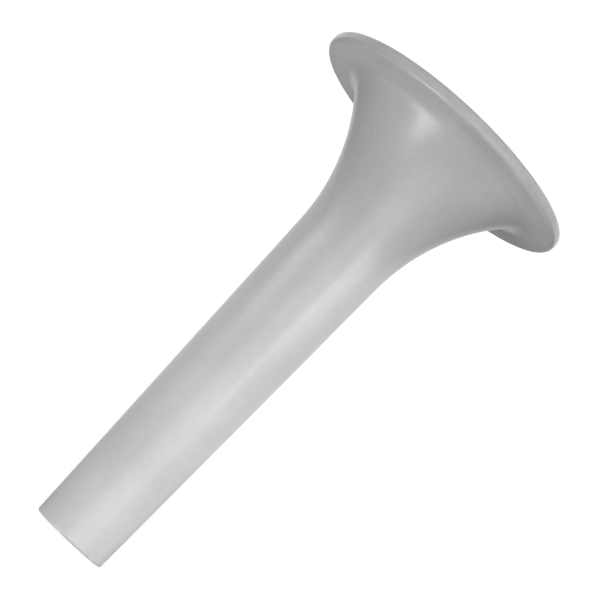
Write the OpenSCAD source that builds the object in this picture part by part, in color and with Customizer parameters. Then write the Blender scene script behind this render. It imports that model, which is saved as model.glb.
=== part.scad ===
// Sausage stuffing tube for a meat grinder: one plastic moulding.
// A slim tapered spout carries the casing. It opens through a long flare into a flat round flange,
// which the grinder's ring nut clamps against the mouth of the grinder.
//
// Frame: millimetres, origin at the centre of the flange's seat face, +Z along the spout to its tip.
// The tube stands on its flange, and it is a body of revolution about Z.

/* [Flange] */

// Outside diameter of the flange
flange_d = 70; // [64:0.5:80]

// Thickness of the flange at its rim
flange_t = 3; // [2.8:0.1:5]

// Rounding of the two edges of the flange's rim
rim_round = 1.2; // [0.4:0.1:1.4]

/* [Spout] */

// Overall length, from the seat face to the end of the spout
overall_l = 125; // [100:1:180]

// Outside diameter of the spout at its tip
tip_d = 19; // [12:0.2:23.6]

// Outside diameter of the spout where the flare begins
root_d = 23.8; // [19.2:0.2:28]

// Wall thickness of spout and flare, measured square to the axis
wall = 2; // [1.2:0.1:3]

// Rounding of the inner and outer edges at the tip
lip_round = 0.5; // [0.2:0.1:0.8]

/* [Flare] */

// Height above the seat face at which the flare begins
flare_h = 37; // [30:0.5:40]

// Radius of the long outer curve that opens the spout
flare_r = 51.5; // [45:0.5:65]

// Radius of the tight outer curve that runs into the back of the flange
foot_r = 7; // [2:0.5:12]

// Rounding of the passage's edge at the seat face
mouth_round = 1; // [0.4:0.1:1.5]

/* [Hidden] */

$fn = 240;

flange_r = flange_d / 2;
tip_r = tip_d / 2;
root_r = root_d / 2;

// Half angle of the spout's taper, the same outside and inside
taper_a = atan((root_r - tip_r) / (overall_l - flare_h));
taper_n = [cos(taper_a), sin(taper_a)];

// Centres are [radius, height]. The long curve leaves the spout without a break.
long_c = [root_r, flare_h] + flare_r * taper_n;

// The tight curve sits inside the long one, touching it at the joint and the flange's back at its foot.
foot_c_h = flange_t + foot_r;
turn_a = asin((long_c[1] - foot_c_h) / (flare_r - foot_r));
turn_n = [cos(turn_a), sin(turn_a)];
foot_c = long_c - (flare_r - foot_r) * turn_n;
joint = long_c - flare_r * turn_n;

// The passage follows the long curve one wall further in, all the way down to the seat face.
bore_r = flare_r + wall;
bore_c = [root_r - wall, flare_h] + bore_r * taper_n;

// The rounding at the mouth touches the seat face and the passage's curve.
mouth_c_run = sqrt(pow(bore_r - mouth_round, 2) - pow(bore_c[1] - mouth_round, 2));
mouth_c = [bore_c[0] - mouth_c_run, mouth_round];
mouth_a = 180 + atan2(bore_c[1] - mouth_c[1], bore_c[0] - mouth_c[0]);

// The roundings at the tip touch the end face and the tapered sides.
lip_h = overall_l - lip_round;
lip_side_r = tip_r + lip_round * tan(taper_a);
lip_inset = lip_round / cos(taper_a);

// Overlap of pieces that cut through a face
over = 1;

// A whole number of millimetres longer than any side of the section
span = ceil(overall_l + flange_d);

// Colour of the plastic
plastic = [0.78, 0.78, 0.79];

// Moves to a point by its whole millimetres, its thousandths and the rest in turn,
// so that curves still meet exactly where each step is written out with six digits.
module at(p) {
    whole = [floor(p[0]), floor(p[1])];
    fine = [floor((p[0] - whole[0]) * 1000) / 1000, floor((p[1] - whole[1]) * 1000) / 1000];
    translate(whole) translate(fine) translate(p - whole - fine) children();
}

// A rectangle between two radii and two heights, with both heights placed exactly
module band(r0, r1, h0, h1) {
    intersection() {
        at([r0, h0]) square([r1 - r0, span]);
        at([r0, h1]) translate([0, -span]) square([r1 - r0, span]);
    }
}

// Takes the corner outside a circle, between the directions square to its two faces.
module edge_cut(centre, r, a, b) {
    reach = (r + over) / cos((b - a) / 2);
    mid = (a + b) / 2;
    at(centre) difference() {
        polygon([
            [0, 0],
            (r + over) * [cos(a), sin(a)],
            reach * [cos(mid), sin(mid)],
            (r + over) * [cos(b), sin(b)]
        ]);
        circle(r = r);
    }
}

// Half section of the outside, solid to the axis
module outside() {
    // Flange
    square([flange_r, flange_t]);

    // Foot of the flare, up to the joint of the two curves
    difference() {
        band(0, foot_c[0], 0, joint[1]);
        at(foot_c) circle(r = foot_r);
    }

    // Long part of the flare, from the joint up to the spout
    difference() {
        band(0, foot_c[0], joint[1], flare_h);
        at(long_c) circle(r = flare_r);
    }

    // Spout
    polygon([[0, flare_h], [root_r, flare_h], [tip_r, overall_l], [0, overall_l]]);
}

// Half section of the passage, from below the seat face to the tip
module passage() {
    difference() {
        band(-over, flange_r, -over, flare_h);
        at(bore_c) circle(r = bore_r);
    }
    polygon([[-over, flare_h], [root_r - wall, flare_h], [tip_r - wall, overall_l], [-over, overall_l]]);
}

// Half section of the moulding with its edges rounded
module section() {
    difference() {
        outside();
        passage();
        edge_cut([flange_r - rim_round, rim_round], rim_round, -90, 0);
        edge_cut([flange_r - rim_round, flange_t - rim_round], rim_round, 0, 90);
        edge_cut([lip_side_r - lip_inset, lip_h], lip_round, taper_a, 90);
        edge_cut([lip_side_r - wall + lip_inset, lip_h], lip_round, 90, 180 + taper_a);
        edge_cut(mouth_c, mouth_round, mouth_a, 270);
    }
}

module stuffing_tube() {
    color(plastic) rotate_extrude() section();
}

stuffing_tube();
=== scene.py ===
# %% [markdown]
# Sausage stuffing tube
#
# The object is one plastic moulding: a slim tapered spout, a long flare and a flat round flange.
# The imported CAD model comes in first, as a fixed frame in metres. Everything below is placed in that frame,
# so nothing has to be fitted by eye.

# %% Load the frame
import math

import bpy
from mathutils import Matrix, Vector


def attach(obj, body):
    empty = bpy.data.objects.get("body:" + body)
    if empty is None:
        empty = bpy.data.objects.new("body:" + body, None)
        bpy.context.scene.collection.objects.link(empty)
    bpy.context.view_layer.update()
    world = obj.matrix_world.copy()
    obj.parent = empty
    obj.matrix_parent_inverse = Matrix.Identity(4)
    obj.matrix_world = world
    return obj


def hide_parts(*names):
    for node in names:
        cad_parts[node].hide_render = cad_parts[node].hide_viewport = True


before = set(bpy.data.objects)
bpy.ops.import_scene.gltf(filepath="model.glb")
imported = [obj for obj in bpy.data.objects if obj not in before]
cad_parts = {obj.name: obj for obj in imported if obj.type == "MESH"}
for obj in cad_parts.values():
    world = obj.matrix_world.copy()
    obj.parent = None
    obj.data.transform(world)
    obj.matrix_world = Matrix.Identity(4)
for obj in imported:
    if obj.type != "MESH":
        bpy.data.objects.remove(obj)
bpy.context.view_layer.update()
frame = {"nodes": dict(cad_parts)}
print("CAD nodes:", ", ".join(frame["nodes"]))

# %% [markdown]
# Sizes
#
# A turned form is fully described by its half section, and the half section by a dozen sizes.
# They are the sizes of the CAD model, written in millimetres because that is how a drawing gives them.
# One scale turns them into Blender's metres when the mesh is made.

# %% Sizes of the moulding, in millimetres
MM = 0.001

flange_radius = 35.0
flange_thick = 3.0
rim_rounding = 1.2

overall_length = 125.0
tip_radius = 9.5
root_radius = 11.9
wall = 2.0
lip_rounding = 0.5

flare_height = 37.0
flare_curve = 51.5
foot_curve = 7.0
mouth_rounding = 1.0

print("spout:", 2 * root_radius, "mm at the flare,", 2 * tip_radius, "mm at the tip")

# %% [markdown]
# Where the curves meet
#
# The long curve of the flare leaves the straight spout without a break. The tight curve at its foot leaves
# the long one the same way and runs out on the back of the flange. Each of these conditions fixes the centre
# of a circle, so a little trigonometry places them. The passage keeps one wall thickness inside the long
# curve.

# %% Centres of the curves
taper = math.atan2(root_radius - tip_radius, overall_length - flare_height)
taper_deg = math.degrees(taper)

flare_centre = (
    root_radius + flare_curve * math.cos(taper),
    flare_height + flare_curve * math.sin(taper),
)
foot_centre_height = flange_thick + foot_curve
turn = math.asin((flare_centre[1] - foot_centre_height) / (flare_curve - foot_curve))
turn_deg = math.degrees(turn)
foot_centre = (flare_centre[0] - (flare_curve - foot_curve) * math.cos(turn), foot_centre_height)

bell_curve = flare_curve + wall
bell_centre = (
    root_radius - wall + bell_curve * math.cos(taper),
    flare_height + bell_curve * math.sin(taper),
)
mouth_drop = bell_centre[1] - mouth_rounding
mouth_centre = (
    bell_centre[0] - math.sqrt((bell_curve - mouth_rounding) ** 2 - mouth_drop ** 2),
    mouth_rounding,
)
mouth_deg = 180 + math.degrees(math.atan2(mouth_drop, bell_centre[0] - mouth_centre[0]))

lip_height = overall_length - lip_rounding
lip_side = tip_radius + lip_rounding * math.tan(taper)
lip_inset = lip_rounding / math.cos(taper)
print("flare turns from", round(taper_deg, 2), "to", round(turn_deg, 2), "degrees before its foot")
print("flat ring of the flange from", round(foot_centre[0], 2), "to", flange_radius - rim_rounding, "mm")

# %% [markdown]
# The half section
#
# The section is walked once round, from the mouth over the flange, up the outside, over the lip and back
# down the passage. A curve object with a bevel or a Screw modifier could spin such a line too. Here every
# station also keeps its exact normal, because on a turned form the normal is known, and exact normals give
# reflections without ripples. A station is its radius, its height, the two parts of its normal, and 1 on the
# outer skin or 0 in the passage.

# %% Stations on arcs and straights
def arc(centre, curve, start, end, steps, hollow=False, skin=1.0):
    """Stations on a circle from one angle to another, in degrees; a hollow arc faces its centre."""
    stations = []
    for k in range(steps + 1):
        angle = math.radians(start + (end - start) * k / steps)
        out_r, out_h = math.cos(angle), math.sin(angle)
        facing = -1.0 if hollow else 1.0
        place_r = centre[0] + curve * out_r
        place_h = centre[1] + curve * out_h
        stations.append((place_r, place_h, facing * out_r, facing * out_h, skin))
    return stations


def between(first, last, steps):
    """Stations inside the straight that joins two stations with the same normal."""
    return [tuple(a + (b - a) * k / steps for a, b in zip(first, last)) for k in range(1, steps)]


# %% Flange: seat face, rim and back
ROUNDING_STEPS = 6

rim_centre_r = flange_radius - rim_rounding
mouth_edge = arc(mouth_centre, mouth_rounding, mouth_deg, 270, ROUNDING_STEPS, skin=0.0)
rim_below = arc((rim_centre_r, rim_rounding), rim_rounding, -90, 0, ROUNDING_STEPS)
rim_above = arc((rim_centre_r, flange_thick - rim_rounding), rim_rounding, 0, 90, ROUNDING_STEPS)
print("rim wall:", round(rim_above[0][1] - rim_below[-1][1], 2), "mm high between its two roundings")

# %% Flare and spout
FOOT_STEPS = 12
FLARE_STEPS = 28

foot = arc(foot_centre, foot_curve, 270, 180 + turn_deg, FOOT_STEPS, hollow=True)
flare = arc(flare_centre, flare_curve, 180 + turn_deg, 180 + taper_deg, FLARE_STEPS, hollow=True)
lip_outside = arc((lip_side - lip_inset, lip_height), lip_rounding, taper_deg, 90, ROUNDING_STEPS)
print("flare begins at radius", round(flare[-1][0], 3), "and height", round(flare[-1][1], 3))

# %% Passage: lip, bore and bell
BELL_STEPS = 32

lip_inner_r = lip_side - wall + lip_inset
lip_inside = arc((lip_inner_r, lip_height), lip_rounding, 90, 180 + taper_deg, ROUNDING_STEPS, skin=0.0)
bell = arc(bell_centre, bell_curve, 180 + taper_deg, mouth_deg, BELL_STEPS, skin=0.0)
bore_tip = round(2 * lip_inside[-1][0], 2)
bore_mouth = round(2 * mouth_edge[-1][0], 2)
print("bore:", bore_tip, "mm at the tip,", bore_mouth, "mm at the mouth")

# %% [markdown]
# One loop of stations
#
# Two arcs that touch share a station, so the second copy is left out. The long straights between the arcs
# are cut into pieces of about one to one and a half millimetres, near the length of the faces round the
# flange. Even faces bend and bake without stretching.

# %% Join the runs
SEAT_STEPS = 6
RIM_STEPS = 2
RING_STEPS = 5
SPOUT_STEPS = 60
LIP_STEPS = 2

section = []
section += mouth_edge
section += between(mouth_edge[-1], rim_below[0], SEAT_STEPS)
section += rim_below
section += between(rim_below[-1], rim_above[0], RIM_STEPS)
section += rim_above
section += between(rim_above[-1], foot[0], RING_STEPS)
section += foot
section += flare[1:]
section += between(flare[-1], lip_outside[0], SPOUT_STEPS)
section += lip_outside
section += between(lip_outside[-1], lip_inside[0], LIP_STEPS)
section += lip_inside
section += between(lip_inside[-1], bell[0], SPOUT_STEPS)
section += bell[:-1]
print("stations in the section:", len(section))

# %% [markdown]
# Spinning the section
#
# Each station becomes a ring of points, and each pair of neighbouring rings a band of four-sided faces. The
# last ring joins the first, so the mesh is closed, as a real wall is. The normals of the stations are handed
# to Blender as custom normals. A named value per point tells the material later which side of the wall it is
# on.

# %% Spin the section into a mesh
SEGMENTS = 192


def spin(name, stations, segments):
    """A closed body of revolution with exact normals from the stations of its section."""
    points, normals, skins, faces = [], [], [], []
    for radius, height, normal_r, normal_h, skin in stations:
        for j in range(segments):
            angle = 2 * math.pi * j / segments
            c, s = math.cos(angle), math.sin(angle)
            points.append((radius * c * MM, radius * s * MM, height * MM))
            normals.append(Vector((normal_r * c, normal_r * s, normal_h)).normalized())
            skins.append(skin)
    count = len(stations)
    for i in range(count):
        ring = i * segments
        after = (i + 1) % count * segments
        for j in range(segments):
            k = (j + 1) % segments
            faces.append((ring + j, ring + k, after + k, after + j))
    mesh = bpy.data.meshes.new(name)
    mesh.from_pydata(points, [], faces)
    mesh.attributes.new("outer_skin", "FLOAT", "POINT").data.foreach_set("value", skins)
    mesh.polygons.foreach_set("use_smooth", [True] * len(faces))
    mesh.normals_split_custom_set_from_vertices(normals)
    mesh.update()
    piece = bpy.data.objects.new(name, mesh)
    bpy.context.scene.collection.objects.link(piece)
    return piece


tube = spin("moulded_tube", section, SEGMENTS)
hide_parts("stuffing_tube")
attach(tube, "root")
print("moulded tube:", len(tube.data.vertices), "points,", len(tube.data.polygons), "faces")

# %% [markdown]
# Writing shader maths as sums
#
# A material is easier to read as formulas than as boxes and wires. The class below wraps a node's output,
# and each operator on it adds one Math node to the tree. Any other node comes from the method called node,
# which sets the node's own settings first and then the values or links of its sockets.

# %% A socket that takes part in sums
class Wire:
    """An output of a node in a tree; operators on it add Math nodes."""

    def __init__(self, tree, socket=None):
        self.tree = tree
        self.socket = socket

    def node(self, kind, settings=None, sockets=None, output=0):
        """Adds a node, first with its settings and then with the values or links of its sockets."""
        made = self.tree.nodes.new(kind)
        for name, value in (settings or {}).items():
            setattr(made, name, value)
        for name, value in (sockets or {}).items():
            if isinstance(value, Wire):
                self.tree.links.new(value.socket, made.inputs[name])
            else:
                made.inputs[name].default_value = value
        return Wire(self.tree, made.outputs[output])

    def maths(self, operation, *values, clamp=False):
        """Adds a Math node with these values or links."""
        settings = {"operation": operation, "use_clamp": clamp}
        return self.node("ShaderNodeMath", settings, dict(enumerate(values)))

    def __add__(self, other):
        return self.maths("ADD", self, other)

    def __radd__(self, other):
        return self.maths("ADD", other, self)

    def __sub__(self, other):
        return self.maths("SUBTRACT", self, other)

    def __rsub__(self, other):
        return self.maths("SUBTRACT", other, self)

    def __mul__(self, other):
        return self.maths("MULTIPLY", self, other)

    def __rmul__(self, other):
        return self.maths("MULTIPLY", other, self)

    def __pow__(self, other):
        return self.maths("POWER", self, other)

    def __abs__(self):
        return self.maths("ABSOLUTE", self)

    def ramp(self, low, high):
        """0 below one value, 1 above the other, and smooth in between."""
        settings = {"interpolation_type": "SMOOTHSTEP"}
        return self.node("ShaderNodeMapRange", settings, {0: self, 1: low, 2: high})


def new_tree(block):
    """An empty node tree of a material or world, to build formulas in."""
    block.use_nodes = True
    block.node_tree.nodes.clear()
    return Wire(block.node_tree)


def show(tree, kind, surface):
    """Ends a tree in its output node, which is the only node without an output of its own."""
    output = tree.tree.nodes.new(kind)
    tree.tree.links.new(surface.socket, output.inputs["Surface"])


print("Wire overloads", "+ - * ** abs")

# %% [markdown]
# Coordinates for the plastic
#
# The patterns are laid out in millimetres on the object itself, so they keep their real size and stay put
# from every side. The distance from the axis and the height say where on the moulding a point is.

# %% Start the plastic
plastic = bpy.data.materials.new("satin_grey_plastic")
sheet = new_tree(plastic)
place = sheet.node("ShaderNodeTexCoord", output="Object")
place_mm = sheet.node("ShaderNodeVectorMath", {"operation": "SCALE"}, {0: place, "Scale": 1 / MM})
across_x = sheet.node("ShaderNodeSeparateXYZ", {}, {0: place_mm}, "X")
across_y = sheet.node("ShaderNodeSeparateXYZ", {}, {0: place_mm}, "Y")
height = sheet.node("ShaderNodeSeparateXYZ", {}, {0: place_mm}, "Z")
radius = (across_x * across_x + across_y * across_y) ** 0.5
skin = sheet.node("ShaderNodeAttribute", {"attribute_name": "outer_skin"}, {}, "Fac")
print("patterns in millimetres on", plastic.name)

# %% [markdown]
# Tone of the plastic
#
# The real tube is a neutral light grey, coloured in the mass. Pigment never mixes quite evenly, so the tone
# drifts by a few per cent over two or three centimetres, and a finer mottle sits on top. Two noises of those
# sizes mix a lighter and a darker grey. A flat colour would look like paint.

# %% Tone
LIGHT_GREY = (0.605, 0.605, 0.612, 1.0)
DEEP_GREY = (0.535, 0.535, 0.545, 1.0)
DRIFT_SIZE = 24.0
MOTTLE_SIZE = 1.6
DRIFT_SHARE = 0.75
DEEPEST_AT = 0.3
LIGHTEST_AT = 0.7


def noise(coordinates, size, detail):
    """Noise between 0 and 1 with features of about that many millimetres."""
    sockets = {"Vector": coordinates, "Scale": 1 / size, "Detail": detail}
    return sheet.node("ShaderNodeTexNoise", {}, sockets)


def mixed(part, first, second):
    """The first colour where part is 0 and the second where it is 1."""
    return sheet.node("ShaderNodeMix", {"data_type": "RGBA"}, {0: part, 6: first, 7: second}, 2)


drift = noise(place_mm, DRIFT_SIZE, 3.0)
mottle = noise(place_mm, MOTTLE_SIZE, 3.0)
lightness = (drift * DRIFT_SHARE + mottle * (1 - DRIFT_SHARE)).ramp(DEEPEST_AT, LIGHTEST_AT)
tone = mixed(lightness, DEEP_GREY, LIGHT_GREY)
print("tone between", DEEP_GREY[0], "and", LIGHT_GREY[0], "linear")

# %% [markdown]
# Rubbed edges
#
# The rim and the end of the spout are what hands, ring nut and casing rub against. Rubbing polishes satin
# plastic and lifts its tone a little. Where an edge is on this object is known from its sizes, so ramps on
# radius and height find the edges, and a noise breaks them up so that the wear isn't an even stripe.

# %% Rubbed edges
RUBBED_GREY = (0.66, 0.66, 0.665, 1.0)
RIM_WEAR = 0.9
LIP_WEAR = 1.0
PATCH_SIZE = 2.4
LEAST_WEAR = 0.35
WEAR_PALER = 0.5

rim_edge = radius.ramp(flange_radius - RIM_WEAR, flange_radius)
lip_edge = height.ramp(overall_length - LIP_WEAR, overall_length)
patchy = noise(place_mm, PATCH_SIZE, 2.0).ramp(0.35, 0.65)
rubbed = (rim_edge + lip_edge) * (LEAST_WEAR + (1 - LEAST_WEAR) * patchy)
worn_tone = mixed(rubbed * WEAR_PALER, tone, RUBBED_GREY)
print("edges rubbed over", RIM_WEAR, "mm at the rim and", LIP_WEAR, "mm at the lip")

# %% [markdown]
# Sheen
#
# The outside has the satin look that a fine-blasted mould gives. The passage is taken as smoother, because
# the core that forms it is usually polished along its length so that the moulding slides off. That leaves
# long streaks in the passage, and only a trace of them is used outside. Roughness carries all of this; the
# shader's other values stay plain numbers.

# %% Sheen
STREAK_STRETCH = (1.0, 1.0, 0.06)
STREAK_SIZE = 0.9
CLOUD_SIZE = 9.0
OUTSIDE_LEAST = 0.27
OUTSIDE_CLOUDS = 0.08
OUTSIDE_STREAKS = 0.01
PASSAGE_LEAST = 0.22
PASSAGE_STREAKS = 0.10
WEAR_SMOOTHER = 0.03

along = sheet.node("ShaderNodeVectorMath", {"operation": "MULTIPLY"}, {0: place_mm, 1: STREAK_STRETCH})
streaks = noise(along, STREAK_SIZE, 2.0)
clouds = noise(place_mm, CLOUD_SIZE, 2.0)
outside_sheen = OUTSIDE_LEAST + OUTSIDE_CLOUDS * clouds + OUTSIDE_STREAKS * streaks
passage_sheen = PASSAGE_LEAST + PASSAGE_STREAKS * streaks
sheen = passage_sheen + (outside_sheen - passage_sheen) * skin - WEAR_SMOOTHER * rubbed
outside_mean = OUTSIDE_LEAST + (OUTSIDE_CLOUDS + OUTSIDE_STREAKS) / 2
passage_mean = PASSAGE_LEAST + PASSAGE_STREAKS / 2
print("roughness about", round(outside_mean, 3), "outside and", round(passage_mean, 3), "in the passage")

# %% [markdown]
# Fine relief
#
# A blasted mould leaves a grain of a third of a millimetre, and slow cooling leaves waves of a few
# millimetres, both far too shallow to show in the outline. Such a mould opens in two halves, so a hairline
# witness is drawn down both sides. Four round marks on the seat face stand for the pins that push a moulding
# out. The witness and the marks are guesses. A Bump node turns one height, in millimetres, into a change of
# the normal.

# %% Fine relief
GRAIN_SIZE = 0.34
GRAIN_DEPTH = 0.0025
WAVE_SIZE = 5.0
WAVE_DEPTH = 0.010
WITNESS_HALF = 0.14
WITNESS_DEPTH = 0.02

grain = (noise(place_mm, GRAIN_SIZE, 1.0) - 0.5) * GRAIN_DEPTH
waves = (noise(place_mm, WAVE_SIZE, 1.0) - 0.5) * WAVE_DEPTH
witness = (1 - abs(across_y).ramp(0.0, WITNESS_HALF)) * skin * WITNESS_DEPTH
print("relief: grain", GRAIN_DEPTH, "mm, waves", WAVE_DEPTH, "mm, witness line", WITNESS_DEPTH, "mm")

# %% Pin marks on the seat face
PIN_CIRCLE = 30.2
PIN_ANGLE = math.radians(45)
PIN_RADIUS = 2.0
PIN_EDGE = 0.12
PIN_DEPTH = 0.03
SEAT_FULL = 0.02
SEAT_END = 0.3

pin_x = abs(across_x) - PIN_CIRCLE * math.cos(PIN_ANGLE)
pin_y = abs(across_y) - PIN_CIRCLE * math.sin(PIN_ANGLE)
pin_distance = (pin_x * pin_x + pin_y * pin_y) ** 0.5
on_seat = 1 - height.ramp(SEAT_FULL, SEAT_END)
pins = (1 - pin_distance.ramp(PIN_RADIUS - PIN_EDGE, PIN_RADIUS + PIN_EDGE)) * on_seat * PIN_DEPTH
print("four pin marks of", 2 * PIN_RADIUS, "mm on the seat face")

# %% Finish the plastic
PLASTIC_IOR = 1.57

relief = grain + waves + witness - pins
bumped = sheet.node("ShaderNodeBump", {}, {"Strength": 1.0, "Distance": MM, "Height": relief})
surface = sheet.node(
    "ShaderNodeBsdfPrincipled",
    {},
    {"Base Color": worn_tone, "Roughness": sheen, "IOR": PLASTIC_IOR, "Normal": bumped},
)
show(sheet, "ShaderNodeOutputMaterial", surface)
tube.data.materials.append(plastic)
print(plastic.name, "has", len(sheet.tree.nodes), "nodes")

# %% [markdown]
# Floor and background
#
# The photograph shows the tube on plain white. A pale matt floor carries the tube and a faint shadow. For
# the rays that the camera and reflections see, most of the floor's white is its own light, so the floor
# comes out white under lamps that suit the object. All other rays meet an ordinary pale floor.
#
# The world stands for the room. Behind the tube it shows white paper, as wide and high as the picture needs,
# and below the horizon it goes on in the white of the floor. The rest of the room is dim. A satin surface
# mirrors at its edges what stands beyond them, so narrow paper keeps the outline of the tube from glaring,
# which a white room all round wouldn't.

# %% Rays that see the background
FLOOR_PALE = (0.8, 0.8, 0.8, 1.0)
FLOOR_SEEN = (0.45, 0.45, 0.45, 1.0)
WHITE = (1.0, 1.0, 1.0, 1.0)
FLOOR_GLOW = 0.95
AMBIENT = 0.07


def seen_rays(tree):
    """1 for rays from the camera, from glossy surfaces and through clear ones, and 0 for the others."""
    camera_ray = tree.node("ShaderNodeLightPath", output="Is Camera Ray")
    glossy_ray = tree.node("ShaderNodeLightPath", output="Is Glossy Ray")
    clear_ray = tree.node("ShaderNodeLightPath", output="Is Transmission Ray")
    return camera_ray.maths("ADD", camera_ray + glossy_ray, clear_ray, clamp=True)


print("floor glow", FLOOR_GLOW, "and ambient light", AMBIENT)

# %% Floor
floor_mesh = bpy.data.meshes.new("floor")
FLOOR_HALF = 0.8
floor_mesh.from_pydata(
    [
        (-FLOOR_HALF, -FLOOR_HALF, 0),
        (FLOOR_HALF, -FLOOR_HALF, 0),
        (FLOOR_HALF, FLOOR_HALF, 0),
        (-FLOOR_HALF, FLOOR_HALF, 0),
    ],
    [],
    [(0, 1, 2, 3)],
)
floor = bpy.data.objects.new("floor", floor_mesh)
bpy.context.scene.collection.objects.link(floor)
paper = bpy.data.materials.new("pale_floor")
paper_tree = new_tree(paper)
plain = paper_tree.node("ShaderNodeBsdfDiffuse", {}, {"Color": FLOOR_PALE})
seen = paper_tree.node("ShaderNodeBsdfDiffuse", {}, {"Color": FLOOR_SEEN})
glow = paper_tree.node("ShaderNodeEmission", {}, {"Color": WHITE, "Strength": FLOOR_GLOW})
seen_glowing = paper_tree.node("ShaderNodeAddShader", {}, {0: seen, 1: glow})
paper_surface = paper_tree.node(
    "ShaderNodeMixShader",
    {},
    {0: seen_rays(paper_tree), 1: plain, 2: seen_glowing},
)
show(paper_tree, "ShaderNodeOutputMaterial", paper_surface)
floor_mesh.materials.append(paper)
print("floor of", 2 * FLOOR_HALF, "m")

# %% World
PAPER_HALF = 14.0
PAPER_HALF_FADE = 22.0
PAPER_TOP = 6.0
PAPER_TOP_FADE = 9.0
HORIZON_FADE = 2.0
studio = bpy.data.worlds.new("studio")
bpy.context.scene.world = studio
studio_tree = new_tree(studio)
heading = studio_tree.node("ShaderNodeTexCoord", output="Generated")
rise = studio_tree.node("ShaderNodeSeparateXYZ", {}, {0: heading}, "Z")
backwards = studio_tree.node("ShaderNodeSeparateXYZ", {}, {0: heading}, "Y")
above_horizon = rise.ramp(0.0, math.sin(math.radians(HORIZON_FADE)))
above_paper = rise.ramp(math.sin(math.radians(PAPER_TOP)), math.sin(math.radians(PAPER_TOP_FADE)))
on_paper = backwards.ramp(math.cos(math.radians(PAPER_HALF_FADE)), math.cos(math.radians(PAPER_HALF)))
white_part = (1 - above_paper) * (1 - above_horizon * (1 - on_paper))
dim = studio_tree.node("ShaderNodeBackground", {}, {"Color": WHITE, "Strength": AMBIENT})
bright = studio_tree.node("ShaderNodeBackground", {}, {"Color": WHITE, "Strength": 1.0})
sky = studio_tree.node("ShaderNodeMixShader", {}, {0: seen_rays(studio_tree) * white_part, 1: dim, 2: bright})
show(studio_tree, "ShaderNodeOutputWorld", sky)
print("paper", 2 * PAPER_HALF, "degrees wide and", PAPER_TOP, "high behind the tube; room light", AMBIENT)

# %% [markdown]
# Light
#
# The spout is brighter than the flange in the photograph, so much of the light comes from low down. A broad
# lamp in front and bright cards on the floor at both sides give that. Two smaller lamps high on the left draw
# the soft streak on the flare, and a small one on the right draws the line along the spout. Weak lamps behind
# keep the other sides from going dark. Left and right are those of the picture, and high and low those of
# the standing tube. Lamps could be turned by hand until the picture looks right; here each has a direction
# from the middle of the tube, so that it can be reasoned about. Azimuth 0 is the camera's side and grows
# towards +X, which is the upper left in the picture, and elevation is above the floor.

# %% Lamps
MIDDLE = Vector((0, 0, 0.06))
CARD_HEIGHT = 0.002


def direction(azimuth, elevation):
    """The unit vector towards that azimuth and elevation, in degrees."""
    a, e = math.radians(azimuth), math.radians(elevation)
    return Vector((math.sin(a) * math.cos(e), -math.cos(a) * math.cos(e), math.sin(e)))


def soft_lamp(name, azimuth, elevation, distance, size, level):
    """A round lamp that faces the middle; at level 1 a small one lights a white card there to white."""
    lamp = bpy.data.lights.new(name, "AREA")
    lamp.shape = "DISK"
    lamp.size = size
    lamp.energy = level * (math.pi * distance) ** 2
    item = bpy.data.objects.new(name, lamp)
    towards = direction(azimuth, elevation)
    item.location = MIDDLE + towards * distance
    item.rotation_euler = towards.to_track_quat("Z", "Y").to_euler()
    bpy.context.scene.collection.objects.link(item)
    return item


def floor_card(name, azimuth, distance, size, level):
    """A lamp that lies on the floor beside the tube, like a bright card, and faces up."""
    item = soft_lamp(name, azimuth, 0, distance, size, level)
    item.location.z = CARD_HEIGHT
    item.rotation_euler = (math.pi, 0, 0)
    return item


# Name, azimuth, elevation, distance, size and level; a card has no elevation
lamps = [
    soft_lamp("front", -22, 10, 0.3, 0.36, 0.54),
    soft_lamp("high_left", 45, 55, 0.6, 0.12, 0.19),
    soft_lamp("far_left", 75, 65, 0.6, 0.2, 0.19),
    soft_lamp("line_right", -41, -4, 0.5, 0.05, 0.05),
    soft_lamp("back", 180, 30, 0.4, 0.25, 0.06),
    soft_lamp("back_left", 120, 40, 0.4, 0.25, 0.06),
    soft_lamp("back_right", -120, 40, 0.4, 0.25, 0.04),
    floor_card("card_right", -60, 0.3, 0.2, 1.20),
    floor_card("card_left", 60, 0.3, 0.2, 0.80),
    floor_card("card_far_right", -95, 0.25, 0.2, 0.30),
]
for item in lamps:
    item.visible_camera = False
print("lamps:", ", ".join(item.name for item in lamps))

# %% [markdown]
# Camera
#
# The tube stands on its flange here, and the photograph shows it lying across the picture, so the camera is
# rolled. Its place, aim, roll and lens come from matching the outline of the section with the outline in the
# photograph.

# %% Camera
camera_data = bpy.data.cameras.new("photo_camera")
camera = bpy.data.objects.new("photo_camera", camera_data)
bpy.context.scene.collection.objects.link(camera)
bpy.context.scene.camera = camera
CAMERA_AT = Vector((0.0, -406.04, 104.20)) * MM
CAMERA_AIM = Vector((-0.865, 0.0, 50.574)) * MM
CAMERA_ROLL = 136.544
LENS_IN_FRAMES = 3.0
SENSOR_WIDTH = 36.0
NEAREST = 0.01

camera_data.sensor_width = SENSOR_WIDTH
camera_data.lens = LENS_IN_FRAMES * SENSOR_WIDTH
camera_data.clip_start = NEAREST
level_view = (CAMERA_AIM - CAMERA_AT).to_track_quat("-Z", "Y").to_matrix().to_4x4()
rolled = Matrix.Rotation(math.radians(-CAMERA_ROLL), 4, "Z")
camera.matrix_world = Matrix.Translation(CAMERA_AT) @ level_view @ rolled
camera_distance = round((CAMERA_AIM - CAMERA_AT).length / MM)
print("camera stands", camera_distance, "mm from its aim, rolled", CAMERA_ROLL, "degrees")

# %% [markdown]
#
# The Standard view shows colours as they are written.

# %% Finish
bpy.context.scene.view_settings.view_transform = "Standard"
